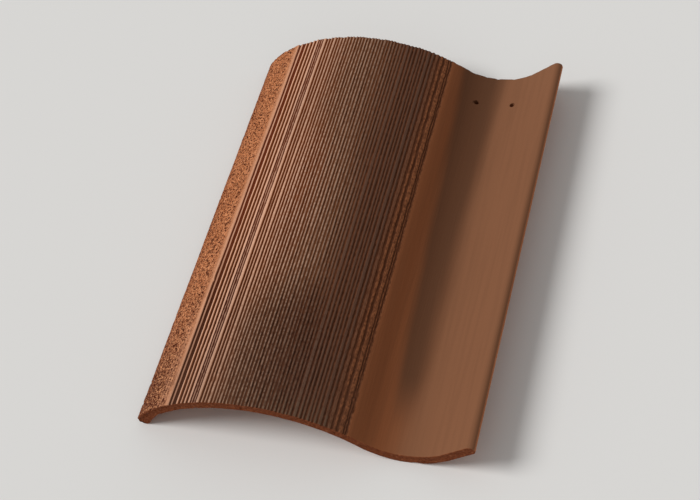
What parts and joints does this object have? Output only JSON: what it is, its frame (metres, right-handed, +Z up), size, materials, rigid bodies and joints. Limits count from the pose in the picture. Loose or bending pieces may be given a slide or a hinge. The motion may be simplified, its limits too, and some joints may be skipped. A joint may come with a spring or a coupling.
{
  "type": "clay roof tile",
  "caption": "One-piece S-shaped clay roof tile: a low combed barrel that sheds water, a smooth pan that carries it down, an upturned side lip, and nail holes near the head.",
  "frame": {"origin": "middle of the tile's footprint, on the level floor that its nose and the underside of its pan rest on", "axes": "+X across the tile from the rounded nose to the upturned lip, +Y up the slope from the front end that shows to the head with the nail holes, +Z up"},
  "size_m": [0.3288, 0.457, 0.0631],
  "materials": {
    "fired_clay": "unglazed, matte, flashed from orange to grey brown"
  },
  "bodies": {
    "root": {"roof_tile": "fired_clay"}
  },
  "joints": []
}
